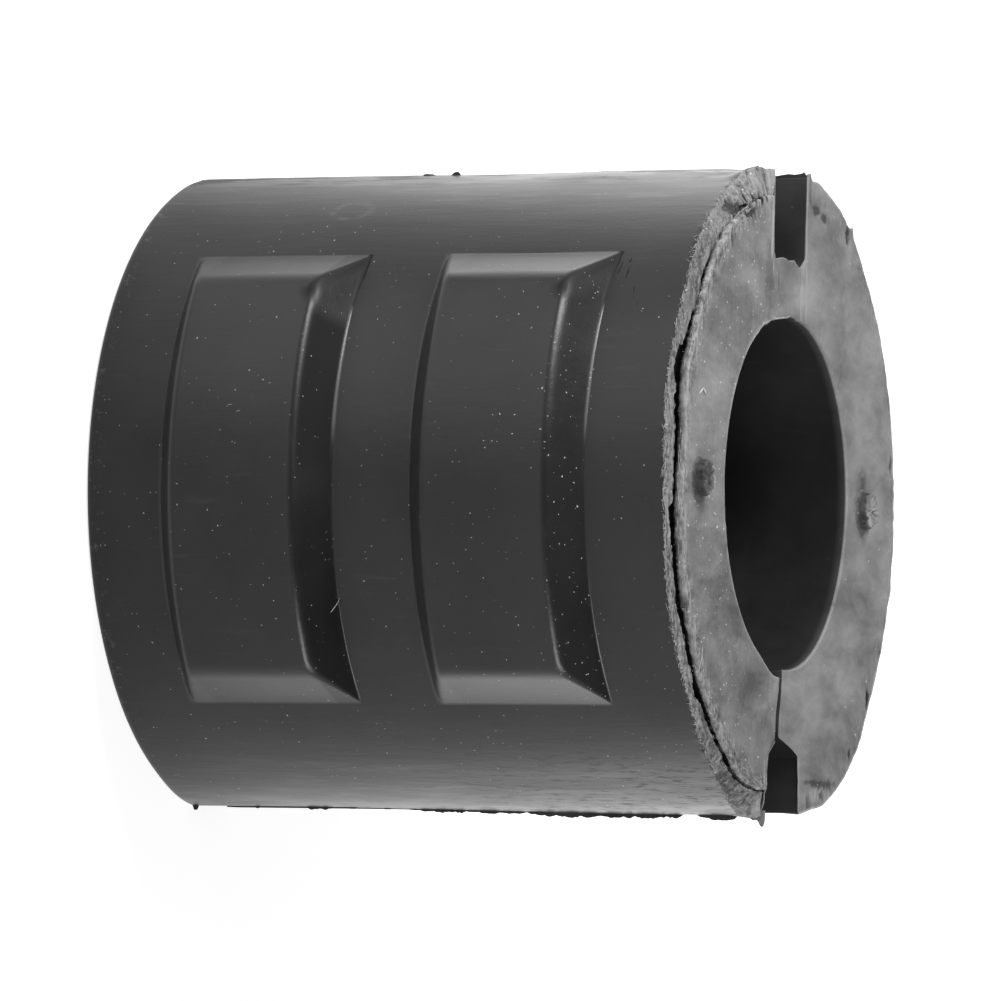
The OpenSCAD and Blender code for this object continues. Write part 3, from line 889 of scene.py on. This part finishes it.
def build_fringe(sizes):
    """Frayed rubber at the tear: strands on the ring, at its outer edge and along the core's lip."""
    R, L = millimetres(sizes, "body_radius", "body_length")
    chance = np.random.default_rng(71)
    steps, sides = 5, 5
    spots, thick = [], []
    # Strands that hang over the ring's outer edge
    many = 380
    angle = thinned(chance, many)
    edge = table(angle, RING_EDGE)
    drop = 0.06 + 0.55 * chance.uniform(0, 1, many) ** 5 * (0.6 + 0.8 * smooth(angle, 30, 20))
    drift = chance.normal(0, 1.0, many)
    spots.append(strand(
        angle, drift, 0.3, (edge + 0.15, R - chance.uniform(0.0, 0.5, many)),
        (edge - drop * 0.5, R + 0.08 + chance.uniform(0, 0.15, many)),
        (edge - drop, R + chance.uniform(0.02, 0.2, many))))
    thick.append(chance.uniform(0.02, 0.05, many))
    # Strands that lie along the ring
    many = 300
    angle = thinned(chance, many)
    share = chance.uniform(0, 1, many)
    inside, edge = table(angle, RING_INSIDE), table(angle, RING_EDGE)
    radius = inside + (R - 0.1 - inside) * share
    top = L - table(angle, TEAR_OPEN)
    height = top + (edge - top) * share ** 1.3
    run = chance.uniform(0.4, 1.6, many)
    spots.append(strand(
        angle, run, 0.5, (height - 0.02, radius),
        (height + chance.uniform(0.02, 0.1, many), radius + 0.07),
        (height - 0.03, radius + chance.uniform(-0.1, 0.1, many))))
    thick.append(chance.uniform(0.02, 0.05, many))
    # Strands along the core's lip
    many = 520
    angle = chance.uniform(-80, 66, many)
    depth = chance.uniform(0, 0.75, many) ** 1.5 * table(angle, TEAR_OPEN)
    radius = table(angle, CORE_WALL) - np.where(depth > 0.25, 0, chance.uniform(0, 1.2, many))
    run = chance.uniform(0.7, 2.6, many)
    spots.append(strand(
        angle, run, 0.5, (L - depth - 0.03, radius),
        (L - depth + chance.uniform(0.03, 0.12, many), radius + 0.12),
        (L - depth - 0.02, radius + chance.uniform(-0.1, 0.12, many))))
    thick.append(chance.uniform(0.025, 0.06, many))
    points, quads, rest = tubes(curves(np.concatenate(spots), steps), np.concatenate(thick), sides)
    # Scratches with raised dark lips, above the higher pad
    scratches = np.array(SCRATCHES)
    start, end = np.insert(scratches[:, :2], 2, R, axis=1), np.insert(scratches[:, 2:4], 2, R, axis=1)
    lines = curves(np.stack([start, (start + end) / 2 + [0, 0.08, 0.02], end], 1), steps)
    more, more_quads, more_rest = tubes(lines, scratches[:, 4])
    quads = np.concatenate([quads, more_quads + len(points)])
    rest += [[k + len(points) for k in face] for face in more_rest]
    # The lip's strands are the palest
    shade = chance.uniform(0, 1, len(points) // (steps * sides))
    shade[-many:] = 0.4 + 0.6 * shade[-many:]
    shade = np.repeat(shade, steps * sides)
    dark = np.concatenate([0.4 * smooth(shade, 0.35, -0.3), np.full(len(more), 0.9)])
    points, shade = np.concatenate([points, more]), np.concatenate([shade, np.zeros(len(more))])
    marks = {"torn": np.ones(len(points)), "dark": dark, "pale": shade, "frayed": np.ones(len(points))}
    return make_mesh("torn_fringe", points, quads, rest, marks)


class Value:
    """An output of a node, which math nodes add to, subtract from or multiply with another."""

    def __init__(self, shader, socket):
        self.shader = shader
        self.socket = socket

    def __add__(self, other):
        return self.shader.math("ADD", self, other)

    def __sub__(self, other):
        return self.shader.math("SUBTRACT", self, other)

    def __rsub__(self, other):
        return self.shader.math("SUBTRACT", other, self)

    def __mul__(self, other):
        return self.shader.math("MULTIPLY", self, other)

    def __truediv__(self, other):
        return self.shader.math("DIVIDE", self, other)

    def __abs__(self):
        return self.shader.math("ABSOLUTE", self)

    def most(self, other):
        return self.shader.math("MAXIMUM", self, other)

    def least(self, other):
        return self.shader.math("MINIMUM", self, other)


class Shader:
    """Short words for adding nodes to a material or the world and joining them."""

    def __init__(self, tree):
        self.tree = tree
        tree.nodes.clear()

    def put(self, socket, value):
        if isinstance(value, Value):
            self.tree.links.new(value.socket, socket)
        else:
            socket.default_value = value

    def add(self, kind, inputs=(), **settings):
        """A new node; inputs are values for its sockets, either in order or by number or name."""
        node = self.tree.nodes.new("ShaderNode" + kind)
        for key, value in settings.items():
            setattr(node, key, value)
        for key, value in inputs.items() if isinstance(inputs, dict) else enumerate(inputs):
            self.put(node.inputs[key], value)
        return node

    def get(self, kind, inputs=(), output=0, **settings):
        """One output of a new node."""
        return Value(self, self.add(kind, inputs, **settings).outputs[output])

    def math(self, operation, *values):
        return self.get("Math", values, operation=operation)

    def mix(self, share, a, b, kind="RGBA"):
        first, second, output = {"RGBA": (6, 7, 2), "FLOAT": (2, 3, 0)}[kind]
        return self.get("Mix", {0: share, first: a, second: b}, output, data_type=kind)

    def ramp(self, value, low, high, to_low=0.0, to_high=1.0, kind="LINEAR"):
        return self.get("MapRange", (value, low, high, to_low, to_high), interpolation_type=kind)

    def moved(self, vector, scale, location=(0, 0, 0)):
        return self.get("Mapping", {0: vector, 1: location, 3: scale})

    def noise(self, vector, scale, detail=3.0, roughness=0.5, distortion=0.0):
        return self.get("TexNoise", {"Vector": vector, "Scale": scale, "Detail": detail,
                                     "Roughness": roughness, "Distortion": distortion})

    def specks(self, vector, scale, size):
        """1 inside a round speck, of which a Voronoi cell has one, and 0 outside; and the cell's tint."""
        cells = self.add("TexVoronoi", {"Vector": vector, "Scale": scale})
        spot = self.ramp(Value(self, cells.outputs["Distance"]), size * 0.6, size, 1.0, 0.0)
        return spot, self.get("SeparateColor", (Value(self, cells.outputs["Color"]),))

    def parts(self, vector):
        """The three parts of a vector."""
        return [Value(self, output) for output in self.add("SeparateXYZ", (vector,)).outputs]

    def size(self, vector):
        """The length of a vector."""
        return self.get("VectorMath", (vector,), "Value", operation="LENGTH")

    def blend(self, share, a, b):
        """Two shaders, mixed."""
        return self.get("MixShader", (share, a, b))


def colour(values, factor=1.0):
    """A colour times a factor, with its alpha, for a socket."""
    return (*(v * factor for v in values), 1.0)


def grey(value):
    """A grey with its alpha, for a socket."""
    return (value, value, value, 1.0)


class Rubber(Shader):
    """The rubber's nodes: black moulded skin, which turns into grey torn rubber where it is marked torn."""

    def __init__(self, tree, finish):
        super().__init__(tree)
        self.finish = finish
        self.place = self.get("TexCoord", output="Object")
        self.x, self.y, self.z = self.parts(self.place)
        for name in MARKS:
            setattr(self, name, self.get("Attribute", output="Fac", attribute_name=name))
        self.inside = self.ramp(self.torn, 0.35, 0.75)
        self.shown_side = self.ramp(self.y, 0.0, 0.012, 1.0, 0.0)
        # The barrel, and not the slots
        self.barrel = self.ramp(self.dusty, 0.2, 0.5)
        # Moulded skin: cloudy bloom, and drag marks and waves along the bar
        self.bloom = self.noise(self.place, 90, 5, 0.6)
        self.drag = self.stretched((1, 1, 0.12), 900, 4, 0.65)
        self.wave = self.stretched((1, 1, 0.16), 420, 5, 0.65)
        # Torn rubber: wisps along Y, and streaks along X and crumbs where it is frayed
        self.wisp = self.stretched((1, 0.4, 1), 330, 4, 0.6, 0.3)
        self.streak = self.stretched((0.24, 1.3, 1), 1700, 4, 0.6)
        self.crumb = self.stretched((1, 0.6, 1), 2600, 3, 0.7)

    def stretched(self, scale, *noise):
        """Noise that is stretched along the axes with a small scale."""
        return self.noise(self.moved(self.place, scale), *noise)

    def skin_colour(self):
        """Skin with bloom, drag marks, streaks, blotches, a stain, a film and scuffs."""
        rubber, pale = self.finish.rubber, grey(0.3)
        skin = self.mix(self.ramp(self.bloom, 0.35, 0.7), colour(rubber, 0.8), colour(rubber, 1.35))
        skin = self.mix(self.ramp(self.drag, 0.62, 0.78) * 0.15, skin, grey(0.09))
        # Pale wavy streaks beside both slots
        edgeways = self.ramp(abs(self.x), 0.029, 0.0347) * self.shown_side * self.barrel
        streaky = self.ramp(self.wave, 0.5, 0.66) * edgeways * self.ramp(self.z, 0.01, 0.045, 0.2, 0.34)
        skin = self.mix(streaky, skin, pale)
        # Blotches along the split slot's front lip
        blotch = self.ramp(self.stretched((1, 1, 0.4), 330, 4, 0.6), 0.43, 0.6)
        blotch = blotch * self.ramp(self.x, 0.0322, 0.0343, 0.0, 0.4)
        skin = self.mix(blotch * self.shown_side.least(self.dusty), skin, pale)
        skin = self.mix(self.oval_stain(), skin, pale)
        # A pale film towards the torn end, and where the piece is marked with one; on the pads that mark also
        # holds a painted highlight along a foot
        skin = self.mix(self.ramp(self.z, 0.045, 0.066, 0.0, 0.009) + self.film, skin, grey(0.25))
        # Scuffs on the rounding at the plain end
        scuff = self.ramp(self.noise(self.place, 900, 4, 0.75), 0.58, 0.66)
        scuff = scuff * self.ramp(self.z, 0.0006, 0.0024, 0.3, 0.0)
        return self.mix(scuff * self.barrel, skin, pale)

    def oval_stain(self):
        """A faint broken oval above the lower pad."""
        half_x, half_z = 0.00095, 0.0022
        oval = self.moved(self.place, (1 / half_x, 0, 1 / half_z), (0.0298 / half_x, 0, -0.0238 / half_z))
        off_line = abs(self.size(oval) - 1.0)
        broken = self.ramp(self.noise(self.place, 800, 3, 0.6), 0.42, 0.56, 0.15, 1.0)
        return self.ramp(off_line, 0.05, 0.3, 0.1, 0.0) * broken * self.shown_side

    def torn_colour(self):
        """Clouds, wisps, streaks and crumbs, with painted light that is paler towards +Y and darker towards
        +X; and paler beside the front gate stub.
        """
        cloud = self.stretched((1, 0.5, 1), 130, 5, 0.6, 0.4)
        # Painted light across the torn end: paler towards +Y, darker towards +X
        slope = self.ramp(self.y, -0.03, 0.03, -0.04, 0.05) + self.ramp(self.x, 0.0, 0.016, 0.0, -0.08)
        beside_stub = self.ramp(abs(self.x), 0.003, 0.013, 0.05, 0.0)
        slope = slope + self.ramp(self.y, -0.02, -0.008, 1.0, 0.0) * beside_stub
        tone = cloud * 0.75 + self.wisp * 0.6 + slope + self.ramp(self.frayed, 0.3, 1, 0, 0.06)
        tone = tone + (self.streak - 0.5) * self.ramp(self.frayed, 0, 1, 0.0, 1.3)
        tone = tone + (self.crumb - 0.5) * self.ramp(self.frayed, 0, 1, 0.12, 1.0)
        torn = self.finish.torn
        inside = self.mix(self.ramp(tone, 0.45, 0.9), colour(torn, 0.45), colour(torn, 1.6))
        # Where marked pale the edge colour shows: along the torn edges partly a painted highlight, on the
        # strands their own paler tone
        edge = self.pale * self.ramp(self.streak, 0.35, 0.55, 0.35, 1.0)
        return self.mix(edge, inside, colour(self.finish.edge))

    def wear(self):
        """Scratches beside the split slot and smudges beside the hinge slot, which take the gloss away."""
        dash = self.ramp(self.stretched((1, 1, 0.22), 1900, 3, 0.7), 0.55, 0.64)
        dash = dash * self.ramp(self.x, 0.027, 0.032, 0.0, 0.55)
        dash = dash * self.ramp(self.z, 0.03, 0.056, 0.15, 1.0)
        smudge = self.ramp(self.stretched((1, 1, 0.4), 280, 4, 0.6), 0.5, 0.6)
        smudge = smudge * self.ramp(self.x, -0.0345, -0.0325, 0.45, 0.0)
        return dash.most(smudge) * self.shown_side.least(1.0 - self.inside)

    def dust(self):
        """Fine specks all over, a few larger ones, and flecks of torn rubber on the front of the torn end."""
        patchy = self.dusty * self.ramp(self.noise(self.place, 75, 3), 0.35, 0.62, 0.35, 1.1)
        patchy = patchy * self.shown_side.most(self.inside)
        wobble = self.get("TexNoise", {"Vector": self.place, "Scale": 3000}, "Color")
        bent = self.get("VectorMath", (wobble, (0.0004,) * 3, self.place), operation="MULTIPLY_ADD")
        dust = None
        for scale, size, most in ((1400, 0.1, 1.0), (760, 0.065, 1.2), (330, 0.036, 0.9)):
            spot, chance = self.specks(bent, scale, size)
            spot = spot * self.ramp(patchy * most - chance, 0.0, 0.4)
            dust = dust.most(spot) if dust else spot
        fleck, chance = self.specks(self.moved(bent, (1.5, 0.8, 1)), 900, 0.14)
        shown = self.math("LESS_THAN", chance, self.ramp(self.y, -0.012, 0.0, 0.8, 0.05))
        return dust.most(fleck * self.inside * shown * (1.0 - self.dark))

    def relief(self):
        """Fine relief: grain, drag marks and waves on the skin, and fibres and crumbs on torn rubber."""
        skin = self.noise(self.place, 2600, 3, 0.6) * 0.35 + self.drag * 0.4 + self.wave * 1.2
        torn = self.streak * self.ramp(self.frayed, 0, 1, 0.0, 2.6)
        torn = torn + self.crumb * self.ramp(self.frayed, 0, 1, 0.7, 2.0) + self.wisp * 1.5
        height = self.mix(self.inside, skin, torn, "FLOAT")
        return self.get("Bump", {"Strength": 0.6, "Distance": 0.00006, "Height": height})

    def surface(self):
        """The finished surface."""
        dust = self.dust()
        base = self.mix(self.inside, self.skin_colour(), self.torn_colour())
        # Where marked dark the colour is painted near black: painted shade in the slots, the slit, the tear,
        # the pits, on the flash, the stubs and the pads, and the own darkness of strands and scratches
        base = self.mix(self.dark, base, grey(0.006))
        base = self.mix(dust * 0.9, base, colour(self.finish.dust))
        roughness = self.mix(self.inside, self.bloom * 0.14 + 0.27, 0.72, "FLOAT")
        roughness = self.mix(dust, roughness, 0.9, "FLOAT")
        roughness = self.mix(self.dark, roughness, 0.95, "FLOAT")
        shiny = self.get("BsdfPrincipled", {
            "Base Color": base, "Roughness": roughness, "Normal": self.relief(), "IOR": 1.5})
        # Pits and the slit swallow the light: where marked dark the sheen is taken away as painted shade, and
        # scratches and smudges lose their gloss
        return self.blend((self.dark * 0.95).most(self.wear()), shiny, self.get("BsdfDiffuse", (base,)))


def lint_surface(tree, finish):
    """Pale lint."""
    s = Shader(tree)
    tone = s.ramp(s.noise(s.get("TexCoord", output="Object"), 900), 0.3, 0.7)
    dust = s.mix(tone, colour(finish.dust, 0.7), colour(finish.dust))
    return s, s.get("BsdfPrincipled", {"Base Color": dust, "Roughness": 0.8})


def rubber_surface(tree, finish):
    """Moulded and torn rubber."""
    s = Rubber(tree, finish)
    return s, s.surface()


def floor_surface(tree, finish):
    """Floor that looks white to the camera, still takes the object's shadow, and lights it from below; to
    glossy rays it glows as a painted reflection.
    """
    s = Shader(tree)
    diffuse = s.get("BsdfDiffuse", (colour(finish.floor),))
    # Glossy rays see a painted reflection: a glowing floor that is paler beside and behind the object, with
    # painted shade close to it
    place = s.get("TexCoord", output="Object")
    away = s.size(place)
    x, y, _ = s.parts(place)
    shown = s.ramp(y, -0.05, 0.12, 0.8, 2.5, "SMOOTHSTEP")
    painted_close_shade = s.ramp(abs(x), 0.02, 0.05, 0.62, 0.9)
    shown = shown * s.ramp(away, 0.03, 0.19, painted_close_shade, 0.94)
    shown = shown * s.ramp(x, -0.02, 0.12, 1.0, s.ramp(y, -0.1, 0.0, 1.1, 0.93))
    # A painted bright patch in the reflection, in front of the object on the hinge slot's side
    facing = x * -0.63 + y * -0.777
    painted_patch = s.ramp(facing / away, 0.85, 1.0, 0.0, 0.68, "SMOOTHSTEP")
    shown = shown + painted_patch * s.ramp(away, 0.03, 0.07)
    painted_reflection = s.get("Emission", (grey(1), shown))
    seen = s.get("AddShader", (diffuse, s.get("Emission", (grey(1), 0.68))))
    plain = s.blend(s.get("LightPath", output="Is Camera Ray"), diffuse, seen)
    return s, s.blend(s.get("LightPath", output="Is Glossy Ray"), plain, painted_reflection)


SURFACES = {"moulded_rubber": rubber_surface, "lint": lint_surface, "floor": floor_surface}


def shared_material(name):
    """The material with a name, which is made once and then shared."""
    material = bpy.data.materials.get(name)
    if material is None:
        material = bpy.data.materials.new(name)
        material.use_nodes = True
        s, surface = SURFACES[name](material.node_tree, bpy.context.scene.bushing_finish)
        s.add("OutputMaterial", {"Surface": surface})
    return material


class BUSHING_OT_body(bpy.types.Operator):
    """Builds the bushing's body with its bore, slots, slit and torn end"""

    bl_idname = "bushing.body"
    bl_label = "Body"

    def execute(self, context):
        piece = dress(build_body(context.scene.bushing_sizes), shared_material("moulded_rubber"))
        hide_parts("bushing")
        return {"FINISHED"}


class BUSHING_OT_pads(bpy.types.Operator):
    """Builds the four gripping pads"""

    bl_idname = "bushing.pads"
    bl_label = "Gripping pads"

    def execute(self, context):
        dress(build_pads(context.scene.bushing_sizes), shared_material("moulded_rubber"))
        return {"FINISHED"}


class BUSHING_OT_stubs(bpy.types.Operator):
    """Builds the two gate stubs on the torn end"""

    bl_idname = "bushing.stubs"
    bl_label = "Gate stubs"

    def execute(self, context):
        dress(build_stubs(context.scene.bushing_sizes), shared_material("moulded_rubber"))
        return {"FINISHED"}


class BUSHING_OT_flash(bpy.types.Operator):
    """Builds the thin flash that the mould left"""

    bl_idname = "bushing.flash"
    bl_label = "Mould flash"

    def execute(self, context):
        dress(build_flash(context.scene.bushing_sizes), shared_material("moulded_rubber"))
        return {"FINISHED"}


class BUSHING_OT_fringe(bpy.types.Operator):
    """Builds the frayed strands at the tear, and the scratches above the higher pad"""

    bl_idname = "bushing.fringe"
    bl_label = "Torn fringe"

    def execute(self, context):
        dress(build_fringe(context.scene.bushing_sizes), shared_material("moulded_rubber"))
        return {"FINISHED"}


class BUSHING_OT_fibres(bpy.types.Operator):
    """Builds the lint that lies on the rubber"""

    bl_idname = "bushing.fibres"
    bl_label = "Fibres"

    def execute(self, context):
        dress(build_fibres(context.scene.bushing_sizes), shared_material("lint"))
        return {"FINISHED"}


def studio_world():
    """World of a pale studio: white to the camera, bright round the horizon and dim overhead."""
    world = bpy.data.worlds.new("studio")
    world.use_nodes = True
    s = Shader(world.node_tree)
    x, y, z = s.parts(s.get("TexCoord", output="Generated"))
    strength = s.ramp(z, 0.2, 0.75, 1.0, 0.02) * s.ramp(y, -0.7, 0.2, 0.55, 1.0)
    strength = strength * s.ramp(x, -0.1, 0.5, 1.0, 0.65)
    dim, white = (s.get("Background", (grey(1), value)) for value in (strength, 1.0))
    pick = s.blend(s.get("LightPath", output="Is Camera Ray"), dim, white)
    s.add("OutputWorld", {"Surface": pick})
    return world


def soft_lamp(name, azimuth, elevation, distance, width, watts):
    """A square area lamp that points at the middle of the bushing."""
    lamp = bpy.data.lights.new(name, "AREA")
    lamp.shape = "SQUARE"
    lamp.size = width
    lamp.energy = watts
    a, e = np.radians(azimuth), np.radians(elevation)
    way = Vector((np.sin(a) * np.cos(e), -np.cos(a) * np.cos(e), np.sin(e)))
    holder = bpy.data.objects.new(name, lamp)
    holder.location = Vector((0, 0, 0.034)) + way * distance
    holder.rotation_mode = "QUATERNION"
    holder.rotation_quaternion = (-way).to_track_quat("-Z", "Y")
    bpy.context.scene.collection.objects.link(holder)


def add_camera():
    """Camera at the photograph's viewing angle, turned on its side: the bar's axis runs to the right."""
    tilt, swing, roll = np.radians(21.8), np.radians(2.6), np.radians(-0.1924)
    away = np.array([np.cos(tilt) * np.sin(swing), -np.cos(tilt) * np.cos(swing), np.sin(tilt)])
    right = np.cross([0, 0, 1], away)
    right /= np.linalg.norm(right)
    up = np.cross(away, right)
    data = bpy.data.cameras.new("photo_camera")
    data.sensor_width = 36
    data.lens = 336.66
    data.shift_x, data.shift_y = 0.0031, -0.0071
    data.clip_start, data.clip_end = 0.05, 20
    camera = bpy.data.objects.new("photo_camera", data)
    turned = np.eye(4)
    turned[:3, 0] = np.cos(roll) * up - np.sin(roll) * right
    turned[:3, 1] = -np.sin(roll) * up - np.cos(roll) * right
    turned[:3, 2] = away
    turned[:3, 3] = np.array([0, 0, 0.03375]) + away * 1.025
    camera.matrix_world = Matrix(turned.tolist())
    bpy.context.scene.collection.objects.link(camera)
    bpy.context.scene.camera = camera


class BUSHING_OT_stage(bpy.types.Operator):
    """Builds the pale floor, the soft lamps, the studio world and the camera"""

    bl_idname = "bushing.stage"
    bl_label = "Stage"

    def execute(self, context):
        side = 1500.0
        corners = side * np.array([(-1, -1, 0), (1, -1, 0), (1, 1, 0), (-1, 1, 0)])
        floor = make_mesh("floor", corners, np.array([[0, 1, 2, 3]]))
        floor.data.materials.append(shared_material("floor"))
        context.scene.world = studio_world()
        soft_lamp("lamp_hinge_side", -75, 42, 0.9, 0.45, 9)
        soft_lamp("lamp_split_side", 62, 25, 0.9, 0.4, 4)
        add_camera()
        context.scene.view_settings.view_transform = "Standard"
        return {"FINISHED"}


class BUSHING_PT_panel(bpy.types.Panel):
    """Sizes, colours and pieces of the bushing"""

    bl_idname = "BUSHING_PT_panel"
    bl_label = "Bushing"
    bl_space_type = "VIEW_3D"
    bl_region_type = "UI"
    bl_category = "Bushing"

    def draw(self, context):
        layout = self.layout
        for group in (context.scene.bushing_sizes, context.scene.bushing_finish):
            box = layout.box()
            for name in group.__annotations__:
                box.prop(group, name)
        for operator in OPERATORS:
            layout.operator(operator.bl_idname)


OPERATORS = (
    BUSHING_OT_body,
    BUSHING_OT_pads,
    BUSHING_OT_stubs,
    BUSHING_OT_flash,
    BUSHING_OT_fringe,
    BUSHING_OT_fibres,
    BUSHING_OT_stage,
)
CLASSES = (BushingSizes, BushingFinish, *OPERATORS, BUSHING_PT_panel)


def register():
    for item in CLASSES:
        bpy.utils.register_class(item)
    bpy.types.Scene.bushing_sizes = bpy.props.PointerProperty(type=BushingSizes)
    bpy.types.Scene.bushing_finish = bpy.props.PointerProperty(type=BushingFinish)


def unregister():
    del bpy.types.Scene.bushing_finish
    del bpy.types.Scene.bushing_sizes
    for item in reversed(CLASSES):
        bpy.utils.unregister_class(item)


def main():
    register()
    for operator in OPERATORS:
        getattr(bpy.ops.bushing, operator.bl_idname.split(".")[1])()


if __name__ == "__main__":
    main()
